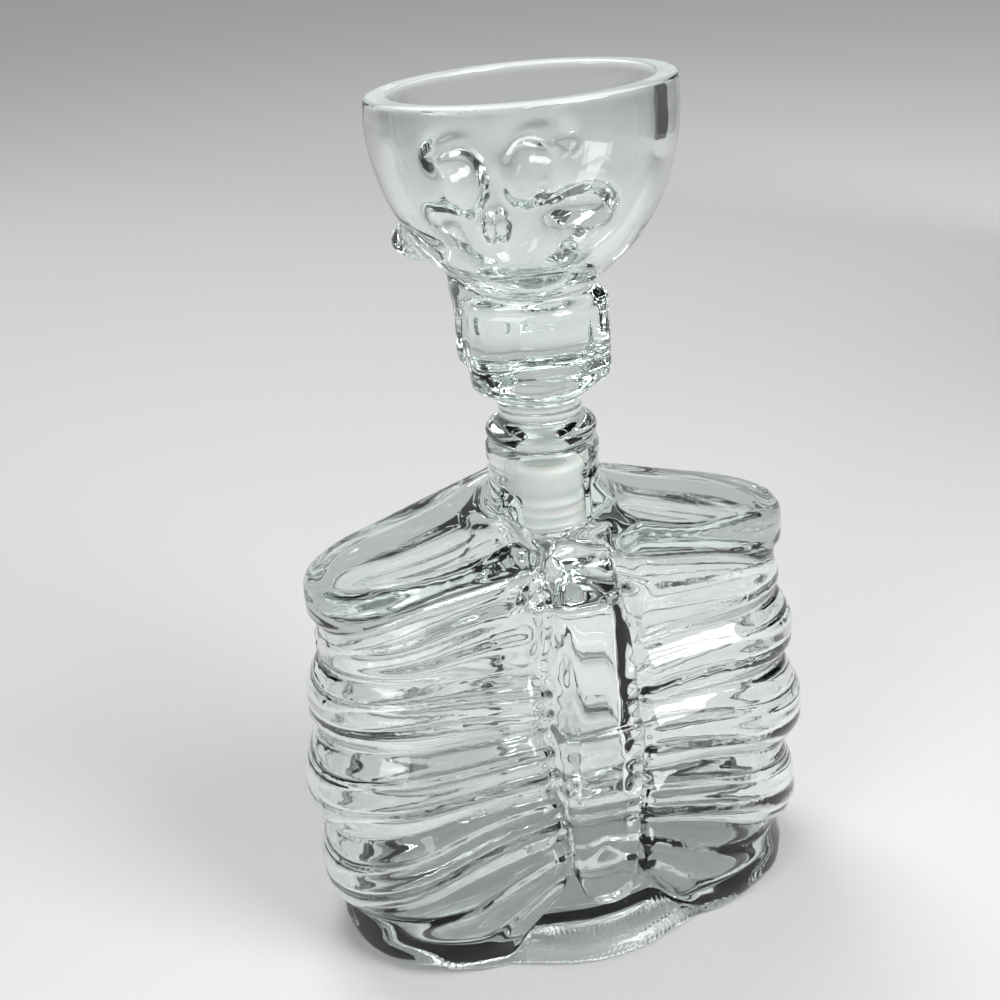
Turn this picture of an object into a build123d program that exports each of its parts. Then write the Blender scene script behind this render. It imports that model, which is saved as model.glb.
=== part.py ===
from build123d import *
import os
from math import asin, atan, cos, degrees, pi, sin

# A clear glass decanter in the form of a rib cage. Its stopper is a glass skull, open at the
# crown to serve as a goblet, with a ribbed plastic sleeve on the peg under it.
# Millimetres. The foot stands on z = 0, the neck's axis is Z and the breastbone faces -Y.

# Chest
chest_half_width = 72.6
chest_half_depth = 41.5
chest_height = 120.0
glass_wall = 3.8
core_half_width = 65.0
core_half_depth = 32.0
core_end_radius = 24.5

# Ribs, from the top pair to the lowest. Levels are on the axis, drops are down to the side.
rib_level_shares = (0.845, 0.675, 0.525, 0.388, 0.25)
rib_drop_shares = (0.07, 0.02, 0.083, 0.188, 0.25)
rib_thickness_shares = (0.205, 0.195, 0.22, 0.23, 0.23)
rib_width_shares = (0.905, 0.95, 0.99, 1.0, 0.955)
rib_depth_shares = (0.83, 0.885, 0.935, 0.975, 1.0)
rib_end_share = 0.87
rib_bulge = 6.4
rib_hollow_share = 0.3
rib_profile_shares = ((-1, 1), (-0.78, 0.42), (-0.36, 0.06), (0.36, 0.06), (0.78, 0.42), (1, 1))
rib_root_depth = 17.0
rib_ground_gap = 0.8
belly_notch_rise = 27.0
belly_notch_half_width = 29.0

# Shoulder slabs
shoulder_half_width = 67.0
shoulder_half_depth = 32.0
shoulder_end_radius = 23.0
shoulder_thickness = 12.5
shoulder_bevel = 3.8
shoulder_bevel_share = 0.8
shoulder_level = 125.5
shoulder_drop = 16.0
shoulder_fall_start = 4.0
shoulder_fall_angle = 15.0
dish_radius = 60.0
dish_depth = 3.2
dish_offset = 43.0
dish_shift = 2.0
throat_notch_level = 115.0
throat_notch_half_width = 17.0
throat_notch_rise = 14.0

# Neck and its finish
neck_radius = 14.3
neck_bore_radius = 10.75
neck_top = 143.0
lip_radius = 15.0
lip_height = 5.6
lip_chamfer = 1.4
neck_ring_radius = 14.9
neck_ring_height = 1.8
neck_ring_gap = 1.4
neck_root_radius = 19.5
neck_root_height = 9.0
neck_root_top = 134.0

# Breastbone
sternum_split_level = 75.5
sternum_top_level = 117.5
sternum_foot_level = 19.5
sternum_top_half_width = 8.0
sternum_waist_half_width = 10.6
shield_half_width = 11.6
shield_foot_half_width = 7.2
shield_corner = 4.0
sternum_proud = 1.2
shield_proud = 1.7
sternum_lean = 8.5
sternum_edge_chamfer = 2.2

# Backbone
vertebra_count = 7
vertebra_half_width = 10.0
vertebra_height = 11.5
vertebra_proud = 2.2
vertebra_chamfer = 1.8
spine_foot_gap = 5.0
spine_lean = 3.4
vertebra_outline_shares = ((-1, -0.4), (-0.7, -1), (0.7, -1), (1, -0.4), (1, 0.4), (0.7, 1), (-0.7, 1), (-1, 0.4))

# Foot
foot_half_width = 58.0
foot_half_depth = 42.0
foot_end_radius = 33.0
foot_ring_width = 4.0
punt_depth = 1.6
floor_thickness = 7.0

# Skull goblet, from the collar up. Its rises are heights above the top of the neck.
collar_radius = 14.7
collar_height = 5.2
collar_round = 2.2
seat_gap = 0.3
waist_radius = 10.1
waist_height = 3.6
stem_flare_radius = 13.6
stem_flare_height = 5.0
block_half_width = 18.0
block_half_depth = 15.6
block_end_radius = 11.0
block_chamfer = 3.6
cranium_half_width = 39.3
cranium_half_depth = 29.0
cranium_half_height = 45.0
cranium_rise = 83.5
cranium_wall = 4.8
cranium_floor = 6.2
rim_rise = 91.5
rim_chamfer = 1.5
goblet_turn = 184.0

# Face of the skull
brow_rise = 71.0
brow_half_width = 23.0
brow_half_depth = 7.0
brow_half_height = 6.2
brow_reach = 22.0
mid_face_rise = 51.0
mid_face_half_width = 21.0
mid_face_half_depth = 14.0
mid_face_half_height = 23.0
mid_face_reach = 15.5
cheek_rise = 54.5
cheek_offset = 18.4
cheek_half_width = 11.0
cheek_half_depth = 12.5
cheek_half_height = 6.2
cheek_reach = 13.5
socket_rise = 62.5
socket_offset = 10.2
socket_radius = 7.2
socket_reach = 29.8
nose_rise = 49.0
nose_half_width = 4.2
nose_height = 11.0
nose_depth = 4.0
jaw_half_width = 17.2
jaw_half_depth = 11.5
jaw_end_radius = 9.0
jaw_reach = 11.5
jaw_foot_rise = 17.5
jaw_height = 25.0
jaw_chamfer = 3.0
tooth_count = 6
tooth_radius = 2.4
tooth_height = 8.0
tooth_rise = 30.5
tooth_proud = 0.9

# Peg and sleeve
peg_radius = 6.9
peg_length = 27.5
peg_lead = 1.2
sleeve_clearance = 0.05
sleeve_radius = 9.2
sleeve_length = 20.0
sleeve_top_gap = 5.5
fin_count = 4
fin_height = 1.3
fin_clearance = 0.05
bead_depth = 0.7
bead_height = 2.4
bead_slack = 0.05

overrun = 200.0


def oval(half_width, half_depth, end_radius):
    """An oval of four tangent arcs: slack ones front and back, tight ones at the ends."""
    reach = half_width - end_radius
    spare = half_depth - end_radius
    centre = (reach**2 - spare**2) / (2 * spare)
    swing = (reach**2 + centre**2) ** 0.5
    touch_x = reach + end_radius * reach / swing
    touch_y = end_radius * centre / swing
    corners = [(touch_x, -touch_y), (touch_x, touch_y), (-touch_x, touch_y), (-touch_x, -touch_y)]
    middles = [(half_width, 0), (0, half_depth), (-half_width, 0), (0, -half_depth)]
    edges = []
    for i in range(len(corners)):
        edges.append(Edge.make_three_point_arc(corners[i], middles[i], corners[(i + 1) % len(corners)]))
    return Face(Wire(edges))


def right_half(solid):
    """The part of a solid on the +X side."""
    keeper = Box(overrun, 2 * overrun, 4 * overrun, align=(Align.MIN, Align.CENTER, Align.CENTER))
    return solid & keeper


def tipped(solid, level, drop, run):
    """A slab tipped down to its +X end, which lies lower by the drop over the run."""
    slope = degrees(atan(drop / run))
    return solid.rotate(Axis.Y, slope).translate((0, 0, level))


def half_outline(half_width, half_depth, end_radius):
    """One side of the chest seen from above: in from the front, round the side, to the back."""
    reach = half_width - end_radius
    lean = asin((half_depth - end_radius) / reach)
    touch_x = reach + end_radius * sin(lean)
    touch_y = end_radius * cos(lean)
    run = (touch_x + rib_root_depth) / cos(lean)
    start_x = touch_x - run * cos(lean)
    start_y = touch_y + run * sin(lean)
    front = Edge.make_line((start_x, -start_y), (touch_x, -touch_y))
    side = Edge.make_three_point_arc((touch_x, -touch_y), (half_width, 0), (touch_x, touch_y))
    back = Edge.make_line((touch_x, touch_y), (start_x, start_y))
    return [front, side, back]


def half_slab(half_width, half_depth, end_radius, height):
    """A flat slab over one side of the chest, standing on z = 0."""
    edges = half_outline(half_width, half_depth, end_radius)
    edges.append(Edge.make_line(edges[2] @ 1, edges[0] @ 0))
    return extrude(Face(Wire(edges)), height)


def rib(index):
    """The right half of one pair of ribs, its face bowed outwards."""
    half_width = chest_half_width * rib_width_shares[index]
    half_depth = chest_half_depth * rib_depth_shares[index]
    drop = chest_height * rib_drop_shares[index]
    along = (half_width**2 + drop**2) ** 0.5
    half_height = chest_height * rib_thickness_shares[index] / 2
    path = Wire(half_outline(along, half_depth, half_depth * rib_end_share))
    plane = Plane(path @ 0, x_dir=(0, 0, -1), z_dir=path % 0)
    bowed = [(half_height * up, rib_bulge * back) for up, back in rib_profile_shares]
    with BuildSketch(plane) as profile:
        with BuildLine():
            Polyline(*bowed, (half_height, rib_root_depth), (-half_height, rib_root_depth), close=True)
        make_face()
    band = sweep(profile.sketch, path)
    return right_half(tipped(band, chest_height * rib_level_shares[index], drop, half_width))


def rib_hollow(index):
    """The channel inside one pair of ribs, on the right."""
    half_width = chest_half_width * rib_width_shares[index]
    half_depth = chest_half_depth * rib_depth_shares[index]
    drop = chest_height * rib_drop_shares[index]
    along = (half_width**2 + drop**2) ** 0.5
    inset = glass_wall + rib_bulge * rib_hollow_share
    height = chest_height * rib_thickness_shares[index] - 2 * glass_wall
    slab = half_slab(along - inset, half_depth - inset, half_depth * rib_end_share - inset, height)
    slab = slab.translate((0, 0, -height / 2))
    return right_half(tipped(slab, chest_height * rib_level_shares[index], drop, half_width))


def shoulder():
    """The right shoulder's slab, with a bevelled rim."""
    along = (shoulder_half_width**2 + shoulder_drop**2) ** 0.5
    slab = extrude(oval(along, shoulder_half_depth, shoulder_end_radius), shoulder_thickness)
    slab = slab.translate((0, 0, -shoulder_thickness / 2))
    rims = slab.edges().group_by(Axis.Z)
    slab = chamfer(list(rims[0]) + list(rims[-1]), shoulder_bevel, shoulder_bevel * shoulder_bevel_share)
    return right_half(tipped(slab, shoulder_level, shoulder_drop, shoulder_half_width))


def fall(inset):
    """What the right shoulder loses behind the neck, where its top slopes down to the back."""
    block = Box(4 * overrun, overrun, overrun, align=(Align.CENTER, Align.MIN, Align.MIN))
    block = block.rotate(Axis.X, -shoulder_fall_angle)
    block = block.translate((0, shoulder_fall_start, shoulder_thickness / 2 - inset))
    return tipped(block, shoulder_level, shoulder_drop, shoulder_half_width)


def core(inset, floor):
    """The right half of the plain body behind the ribs, up into the middle of the shoulder."""
    body = half_slab(
        core_half_width - inset,
        core_half_depth - inset,
        core_end_radius - inset,
        shoulder_level - floor,
    ).translate((0, 0, floor))
    under = Box(2 * overrun, overrun, overrun, align=(Align.CENTER, Align.CENTER, Align.MAX))
    return right_half(body & tipped(under, shoulder_level, shoulder_drop, shoulder_half_width))


def throat_notch(inset):
    """The V between the collar bones, in front of the neck."""
    with BuildSketch(Plane.XZ) as outline:
        with BuildLine():
            Polyline(
                (0, throat_notch_level - inset),
                (throat_notch_half_width + inset, throat_notch_level + throat_notch_rise),
                (throat_notch_half_width + inset, overrun),
                (-throat_notch_half_width - inset, overrun),
                (-throat_notch_half_width - inset, throat_notch_level + throat_notch_rise),
                close=True,
            )
        make_face()
    return extrude(outline.sketch, overrun)


def belly_notch(inset):
    """The steep inverted V between the lowest ribs, in front."""
    slope = belly_notch_rise / belly_notch_half_width
    rise = belly_notch_rise + inset * (1 + slope**2) ** 0.5
    half_width = rise / slope
    with BuildSketch(Plane.XZ) as outline:
        with BuildLine():
            Polyline((-half_width, 0), (0, rise), (half_width, 0), close=True)
        make_face()
    return extrude(outline.sketch, overrun)


def both_sides(half):
    """A half and its mirror image, joined."""
    return half + half.mirror(Plane.YZ)


def chest_form():
    """The ribbed body with its shoulders, solid."""
    half = rib(0)
    for index in range(1, len(rib_level_shares)):
        half += rib(index)
    above = Box(2 * overrun, 2 * overrun, overrun, align=(Align.CENTER, Align.CENTER, Align.MIN))
    half = (half & above.translate((0, 0, rib_ground_gap))) - belly_notch(0)
    half = half + core(0, rib_ground_gap) + shoulder() - fall(0)
    return both_sides(half) - throat_notch(0)


def chest_hollow():
    """The space inside the body: a plain middle with a channel in each rib and shoulder."""
    half = rib_hollow(0)
    for index in range(1, len(rib_level_shares)):
        half += rib_hollow(index)
    half = (half - belly_notch(glass_wall)) + core(glass_wall, floor_thickness)
    above = Box(2 * overrun, 2 * overrun, overrun, align=(Align.CENTER, Align.CENTER, Align.MIN))
    half = half & above.translate((0, 0, floor_thickness))
    half -= fall(glass_wall)
    return both_sides(half) - throat_notch(glass_wall)


def turned(profile):
    """A solid of revolution about Z from points given as radius and height."""
    with BuildSketch(Plane.XZ) as outline:
        with BuildLine():
            Polyline(*profile, close=True)
        make_face()
    return revolve(outline.sketch, Axis.Z)


def neck():
    """The neck with its lip and the ring under it."""
    pipe = Cylinder(neck_radius, neck_top - throat_notch_level, align=(Align.CENTER, Align.CENTER, Align.MIN))
    pipe = pipe.translate((0, 0, throat_notch_level))
    lip = Cylinder(lip_radius, lip_height, align=(Align.CENTER, Align.CENTER, Align.MAX))
    lip = chamfer(lip.edges().group_by(Axis.Z)[-1], lip_chamfer)
    ring_top = neck_top - lip_height - neck_ring_gap
    ring_step = neck_ring_height / 3
    ring = turned(
        [
            (0, ring_top),
            (neck_radius, ring_top),
            (neck_ring_radius, ring_top - ring_step),
            (neck_ring_radius, ring_top - 2 * ring_step),
            (neck_radius, ring_top - neck_ring_height),
            (0, ring_top - neck_ring_height),
        ]
    )
    return pipe + lip.translate((0, 0, neck_top)) + ring


def neck_root():
    """The cone that carries the neck down into the shoulders."""
    root = Cone(neck_root_radius, neck_radius, neck_root_height, align=(Align.CENTER, Align.CENTER, Align.MAX))
    return root.translate((0, 0, neck_root_top)) - throat_notch(0)


def plate(points, proud, edge_chamfer):
    """A flat plate on the front of the chest from its outline of x and z."""
    with BuildSketch(Plane.XZ) as outline:
        with BuildLine():
            Polyline(*points, close=True)
        make_face()
    depth = chest_half_depth / 2
    solid = extrude(outline.sketch, depth + proud).translate((0, depth - chest_half_depth, 0))
    return chamfer(solid.edges().group_by(Axis.Y)[0], edge_chamfer)


def sternum():
    """The breastbone: a bar above, and a smoother shield with a rounded foot below."""
    bar = plate(
        [
            (-sternum_waist_half_width, sternum_split_level - sternum_edge_chamfer),
            (sternum_waist_half_width, sternum_split_level - sternum_edge_chamfer),
            (sternum_top_half_width, sternum_top_level),
            (-sternum_top_half_width, sternum_top_level),
        ],
        sternum_proud,
        sternum_edge_chamfer,
    )
    bar = bar.translate((0, 0, -sternum_split_level)).rotate(Axis.X, -sternum_lean)
    bar = bar.translate((0, 0, sternum_split_level))
    foot_side = sternum_foot_level + shield_foot_half_width
    shield = plate(
        [
            (-shield_foot_half_width / 2, sternum_foot_level),
            (shield_foot_half_width / 2, sternum_foot_level),
            (shield_foot_half_width, foot_side),
            (shield_half_width, sternum_split_level - shield_corner),
            (shield_half_width - shield_corner / 2, sternum_split_level),
            (-shield_half_width + shield_corner / 2, sternum_split_level),
            (-shield_half_width, sternum_split_level - shield_corner),
            (-shield_foot_half_width, foot_side),
        ],
        shield_proud,
        sternum_edge_chamfer,
    )
    return bar + shield


def spine():
    """A column of vertebrae down the middle of the back."""
    column = None
    span = shoulder_level - shoulder_thickness - spine_foot_gap
    pitch = span / vertebra_count
    depth = chest_half_depth / 2
    corners = []
    for across, up in vertebra_outline_shares:
        corners.append((vertebra_half_width * across, vertebra_height / 2 * up))
    for index in range(vertebra_count):
        with BuildSketch(Plane.XZ) as outline:
            with BuildLine():
                Polyline(*corners, close=True)
            make_face()
        bone = extrude(outline.sketch, -(depth + vertebra_proud))
        bone = chamfer(bone.edges().group_by(Axis.Y)[-1], vertebra_chamfer)
        level = spine_foot_gap + pitch * (index + 0.5)
        bone = bone.translate((0, chest_half_depth - depth, level))
        column = bone if column is None else column + bone
    return column.rotate(Axis.X, spine_lean)


def foot():
    """The oval foot that the bottle stands on."""
    height = rib_ground_gap + floor_thickness / 2
    solid = extrude(oval(foot_half_width, foot_half_depth, foot_end_radius), height)
    return chamfer(solid.edges().group_by(Axis.Z)[0], rib_ground_gap)


def punt():
    """The shallow recess inside the foot's bearing ring."""
    inner = oval(
        foot_half_width - foot_ring_width,
        foot_half_depth - foot_ring_width,
        foot_end_radius - foot_ring_width,
    )
    return extrude(inner, punt_depth)


def dishes():
    """The two shallow dishes in the tops of the shoulders, as cutters."""
    slope = atan(shoulder_drop / shoulder_half_width)
    rise = shoulder_thickness / 2 - dish_depth + dish_radius
    across = dish_offset * cos(slope) + rise * sin(slope)
    level = shoulder_level - dish_offset * sin(slope) + rise * cos(slope)
    right = Sphere(dish_radius).translate((across, dish_shift, level))
    return right, right.mirror(Plane.YZ)


def bottle_body():
    """The whole glass bottle."""
    outer = chest_form() + neck_root()
    hollow = chest_hollow()
    for dish in dishes():
        outer -= dish
        hollow -= dish.translate((0, 0, -glass_wall))
    outer = outer + neck() + sternum() + spine() + foot()
    bore = Cylinder(neck_bore_radius, overrun, align=(Align.CENTER, Align.CENTER, Align.MIN))
    hollow += bore.translate((0, 0, throat_notch_level - 2 * glass_wall))
    return outer - hollow - punt()


def lens(half_width, half_depth, half_height):
    """An ellipsoid about the origin."""
    return scale(Sphere(1), by=(half_width, half_depth, half_height))


def cranium():
    """The open bowl of the skull."""
    outer = lens(cranium_half_width, cranium_half_depth, cranium_half_height).translate((0, 0, cranium_rise))
    top = Box(overrun, overrun, overrun, align=(Align.CENTER, Align.CENTER, Align.MIN))
    return outer - top.translate((0, 0, rim_rise))


def cranium_hollow():
    """The space inside the bowl, up through its rim."""
    inner = lens(
        cranium_half_width - cranium_wall,
        cranium_half_depth - cranium_wall,
        cranium_half_height - cranium_floor,
    ).translate((0, 0, cranium_rise))
    top = Box(overrun, overrun, overrun, align=(Align.CENTER, Align.CENTER, Align.MIN))
    return inner - top.translate((0, 0, rim_rise + rim_chamfer))


def face_mass():
    """What stands proud of the bowl at the front: brow, middle face, cheekbones and jaw."""
    mass = lens(mid_face_half_width, mid_face_half_depth, mid_face_half_height)
    mass = mass.translate((0, -mid_face_reach, mid_face_rise))
    brow = lens(brow_half_width, brow_half_depth, brow_half_height)
    mass += brow.translate((0, -brow_reach, brow_rise))
    cheek = lens(cheek_half_width, cheek_half_depth, cheek_half_height)
    for side in (-1, 1):
        mass += cheek.translate((side * cheek_offset, -cheek_reach, cheek_rise))
    return mass


def jaw():
    """The jaw block with a row of teeth round its front."""
    block = extrude(oval(jaw_half_width, jaw_half_depth, jaw_end_radius), jaw_height)
    block = chamfer(block.edges().group_by(Axis.Z)[0], jaw_chamfer)
    block = block.translate((0, -jaw_reach, jaw_foot_rise))
    for index in range(tooth_count):
        place = (index - (tooth_count - 1) / 2) * 2 * tooth_radius
        tooth = Cylinder(tooth_radius, tooth_height).translate((place, 0, tooth_rise))
        set_back = (place / jaw_half_width) ** 2 * jaw_end_radius / 2
        block += tooth.translate((0, tooth_radius - jaw_reach - jaw_half_depth - tooth_proud + set_back, 0))
    return block


def face_cuts():
    """Eye sockets and the opening of the nose."""
    cuts = []
    for side in (-1, 1):
        cuts.append(Sphere(socket_radius).translate((side * socket_offset, -socket_reach, socket_rise)))
    with BuildSketch(Plane.XZ) as outline:
        with BuildLine():
            Polyline(
                (0, nose_height / 2),
                (nose_half_width, -nose_height / 3),
                (nose_half_width / 2, -nose_height / 2),
                (0, -nose_height / 3),
                (-nose_half_width / 2, -nose_height / 2),
                (-nose_half_width, -nose_height / 3),
                close=True,
            )
        make_face()
    front = mid_face_reach + mid_face_half_depth
    nose = extrude(outline.sketch, overrun).translate((0, nose_depth - front, nose_rise))
    return cuts + [nose]


def stem():
    """The collar that rests over the lip, the waist above it and the flare under the skull."""
    shelf = collar_radius - collar_round
    shoulder_share = 1 - cos(pi / 4)
    collar = turned(
        [
            (0, 0),
            (shelf, 0),
            (collar_radius - collar_round * shoulder_share, collar_round * shoulder_share),
            (collar_radius, collar_round),
            (collar_radius, collar_height - collar_round),
            (collar_radius - collar_round * shoulder_share, collar_height - collar_round * shoulder_share),
            (shelf, collar_height),
            (0, collar_height),
        ]
    )
    waist_level = collar_height + waist_height
    shaft = turned(
        [
            (0, collar_height / 2),
            (waist_radius, collar_height / 2),
            (waist_radius, waist_level),
            (stem_flare_radius, waist_level + stem_flare_height),
            (0, waist_level + stem_flare_height),
        ]
    )
    return (collar + shaft).translate((0, 0, seat_gap))


def peg():
    """The peg under the collar with a groove for the sleeve's bead."""
    top = seat_gap + collar_height / 2
    bottom = seat_gap - peg_length
    middle = -sleeve_top_gap - sleeve_length / 2
    half_groove = bead_height / 2 + bead_slack
    groove_radius = peg_radius - bead_depth
    return turned(
        [
            (0, top),
            (peg_radius, top),
            (peg_radius, middle + half_groove),
            (groove_radius, middle + half_groove / 2),
            (groove_radius, middle - half_groove / 2),
            (peg_radius, middle - half_groove),
            (peg_radius, bottom + peg_lead),
            (peg_radius - peg_lead, bottom),
            (0, bottom),
        ]
    )


def skull_goblet():
    """The glass stopper: peg, collar, stem, lower skull, face and open cranium, seated on the neck."""
    block_level = seat_gap + collar_height + waist_height + stem_flare_height - block_chamfer
    block_height = cranium_rise - cranium_half_height / 2 - block_level
    block = extrude(oval(block_half_width, block_half_depth, block_end_radius), block_height)
    block = chamfer(block.edges().group_by(Axis.Z)[0], block_chamfer).translate((0, 0, block_level))
    glass = cranium() + face_mass() + block + jaw()
    for cut in face_cuts():
        glass -= cut
    glass -= cranium_hollow()
    rims = glass.edges().group_by(Axis.Z)[-1]
    glass = chamfer(rims, rim_chamfer)
    glass = glass + stem() + peg()
    return glass.rotate(Axis.Z, goblet_turn).translate((0, 0, neck_top))


def sleeve():
    """The ribbed plastic sleeve round the peg, with sealing fins and an inner bead."""
    top = neck_top - sleeve_top_gap
    bottom = top - sleeve_length
    middle = (top + bottom) / 2
    bore = peg_radius + sleeve_clearance
    bead_radius = bore - bead_depth
    fin_radius = neck_bore_radius - fin_clearance
    outside = [(bore, top), (sleeve_radius, top)]
    pitch = sleeve_length / fin_count
    for index in range(fin_count):
        level = top - pitch * (index + 0.5)
        outside.append((sleeve_radius, level + fin_height))
        outside.append((fin_radius, level))
        outside.append((sleeve_radius, level - fin_height))
    outside += [(sleeve_radius, bottom), (bore, bottom)]
    inside = [
        (bore, middle - bead_height / 2),
        (bead_radius, middle - bead_height / 4),
        (bead_radius, middle + bead_height / 4),
        (bore, middle + bead_height / 2),
    ]
    return turned(outside + inside)


parts = {"bottle": bottle_body(), "skull_goblet": skull_goblet(), "stopper_seal": sleeve()}
os.makedirs("parts", exist_ok=True)
for name, solid in parts.items():
    export_step(solid, f"parts/{name}.step")
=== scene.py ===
# %% [markdown]
# # A rib-cage decanter with a skull goblet for a stopper
#
# Three pieces are dressed here: the pressed-glass bottle, the glass skull that closes it, and the
# ribbed plastic sleeve on the skull's peg. Both glass pieces are sculpted, with hardly a flat or a
# turned surface on them, so they are made from distance fields: number grids that say how far each
# point of space is from the surface. Fields blend as softly as melted glass does.

from math import cos, pi, radians, sin

import bmesh
import bpy
import numpy as np
import openvdb
from mathutils import Matrix, Vector


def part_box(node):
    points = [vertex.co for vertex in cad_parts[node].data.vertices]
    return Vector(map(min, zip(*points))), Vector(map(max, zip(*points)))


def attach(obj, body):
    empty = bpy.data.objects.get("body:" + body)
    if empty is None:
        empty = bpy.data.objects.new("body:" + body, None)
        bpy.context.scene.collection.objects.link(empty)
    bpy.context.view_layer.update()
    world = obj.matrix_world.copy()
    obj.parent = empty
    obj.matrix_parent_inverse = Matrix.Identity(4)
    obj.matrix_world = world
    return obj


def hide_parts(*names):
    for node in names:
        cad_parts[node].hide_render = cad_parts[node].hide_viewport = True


MM = 0.001
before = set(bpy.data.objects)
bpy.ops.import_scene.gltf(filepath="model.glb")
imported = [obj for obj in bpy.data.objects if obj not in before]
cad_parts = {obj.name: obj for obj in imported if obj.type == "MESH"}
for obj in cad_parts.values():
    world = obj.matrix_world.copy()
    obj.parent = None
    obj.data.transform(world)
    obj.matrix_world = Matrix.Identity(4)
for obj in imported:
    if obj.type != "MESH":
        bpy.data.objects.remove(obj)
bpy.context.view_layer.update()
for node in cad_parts:
    low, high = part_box(node)
    print(node, [round(v / MM, 1) for v in low], [round(v / MM, 1) for v in high])

# %% [markdown]
# ## Camera
#
# The photograph was taken from a little left of the front and well above, with the camera leaning.
# A camera can be placed by its three directions: right, up and back are the columns of its
# rotation. Working them out from angles keeps each of the three numbers easy to change.

# %% Place the camera
CAMERA_PLACE = Vector((-107.4, -351.2, 298.4)) * MM
CAMERA_TURN = radians(-15.12)
CAMERA_DIP = radians(25.29)
CAMERA_LEAN = radians(3.97)
LENS = 54.44
NEAREST = 0.01

ahead = Vector((-sin(CAMERA_TURN) * cos(CAMERA_DIP), cos(CAMERA_TURN) * cos(CAMERA_DIP), -sin(CAMERA_DIP)))
level_right = Vector((cos(CAMERA_TURN), sin(CAMERA_TURN), 0))
level_down = ahead.cross(level_right)
lean_right = cos(CAMERA_LEAN) * level_right + sin(CAMERA_LEAN) * level_down
lean_down = cos(CAMERA_LEAN) * level_down - sin(CAMERA_LEAN) * level_right
directions = Matrix((lean_right, -lean_down, -ahead)).transposed().to_4x4()
camera = bpy.data.objects.new("camera", bpy.data.cameras.new("camera"))
bpy.context.scene.collection.objects.link(camera)
camera.matrix_world = Matrix.Translation(CAMERA_PLACE) @ directions
camera.data.lens = LENS
camera.data.clip_start = NEAREST
bpy.context.scene.camera = camera
print("camera", [round(v, 3) for v in camera.location])

# %% [markdown]
# ## Distance fields
#
# A field is an array with one number for each point of a grid: negative inside the shape, zero on
# its surface, positive outside. Two shapes join where the smaller number wins, and a soft minimum
# leaves a fillet where they meet. OpenVDB then turns the zero surface into even quads. All sizes in
# the fields are millimetres.

# %% Grid and blending helpers
def grid(low, high, voxel):
    """Coordinates in millimetres of a block of grid points, as three arrays."""
    counts = np.ceil((np.array(high) - low) / voxel).astype(int) + 1
    axes = [(low[i] + voxel * np.arange(counts[i])).astype(np.float32) for i in range(3)]
    return np.meshgrid(*axes, indexing="ij")


def join(first, second, blend):
    """The union of two fields, with a fillet about as wide as the blend."""
    share = np.clip(0.5 + 0.5 * (second - first) / blend, 0, 1)
    return second + (first - second) * share - blend * share * (1 - share)


def cut(first, second, blend):
    """The first field without the second, with a rounded edge."""
    return -join(-first, second, blend)


def keep(first, second, blend):
    """What two fields share, with a rounded edge."""
    return -join(-first, -second, blend)


# %% [markdown]
# A handful of basic shapes is enough for both glass pieces. A lens is a stretched ball, a slab is a
# plan given thickness, and a capsule plan is the oval of the ribs, the foot and the shoulders. A
# turned shape reads its radius at each height from a short list.

# %% Basic shapes
def lens(x, y, z, radii, centre):
    """A stretched ball about a centre."""
    p = [(value - middle) / radius for value, middle, radius in zip((x, y, z), centre, radii)]
    near = np.sqrt(p[0] ** 2 + p[1] ** 2 + p[2] ** 2)
    steep = np.sqrt(sum((value / radius) ** 2 for value, radius in zip(p, radii))) + 1e-6
    return near * (near - 1) / steep


def slab(across, half_height, level, edge):
    """A plan field given thickness about a level, its rim rounded."""
    out = np.maximum(across + edge, 0)
    up = np.maximum(np.abs(level) - half_height + edge, 0)
    inside = np.minimum(np.maximum(across + edge, np.abs(level) - half_height + edge), 0)
    return np.sqrt(out**2 + up**2) + inside - edge


def capsule_plan(x, y, half_width, half_depth, end_radius):
    """An oval seen from above: a wide middle that runs straight out to tighter ends."""
    reach = half_width - end_radius
    lean = (half_depth - end_radius) / reach
    rise = np.sqrt(1 - lean**2)
    out, deep = np.abs(x), np.abs(y)
    along = rise * out - lean * deep
    middle = np.sqrt(out**2 + deep**2) - half_depth
    end = np.sqrt((out - reach) ** 2 + deep**2) - end_radius
    flank = lean * out + rise * deep - half_depth
    return np.where(along < 0, middle, np.where(along > rise * reach, end, flank))


def turned(x, y, z, profile):
    """A shape turned about the axis, from a list of height and radius."""
    heights, radii = zip(*profile)
    return np.sqrt(x**2 + y**2) - np.interp(z, heights, radii)


def peak(distance, width):
    """One at a distance of zero, fading to nothing on both sides."""
    return np.exp(-((distance / width) ** 2))


def ramp(value, width):
    """Rises from zero to one while the value goes from zero to the width."""
    return np.clip(value / width, 0, 1)


# %% Turn a field into a mesh
def new_piece(name, points, faces):
    """A smooth object from points in metres and faces."""
    mesh = bpy.data.meshes.new(name)
    mesh.from_pydata(points, [], faces)
    mesh.shade_smooth()
    mesh.validate()
    piece = bpy.data.objects.new(name, mesh)
    bpy.context.scene.collection.objects.link(piece)
    return piece


def sampled(field, base, part):
    """A field's values between its grid points."""
    total = 0
    for corner in np.ndindex(2, 2, 2):
        weight = np.prod(np.where(np.array(corner) == 1, part, 1 - part), axis=1)
        total = total + weight * field[tuple((base + corner).T)]
    return total


def settled(points, field, rounds=3, least_slope=0.05, longest_step=0.5):
    """Grid points moved down the field's slope until they lie on its zero surface."""
    slopes = np.gradient(field)
    points = points.astype(np.float64)
    for _ in range(rounds):
        base = np.clip(np.floor(points).astype(int), 0, np.array(field.shape) - 2)
        part = points - base
        value = sampled(field, base, part)
        slope = np.stack([sampled(s, base, part) for s in slopes], axis=1)
        steep = np.maximum((slope**2).sum(axis=1), least_slope)
        points -= np.clip(value / steep, -longest_step, longest_step)[:, None] * slope
    return points


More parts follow.
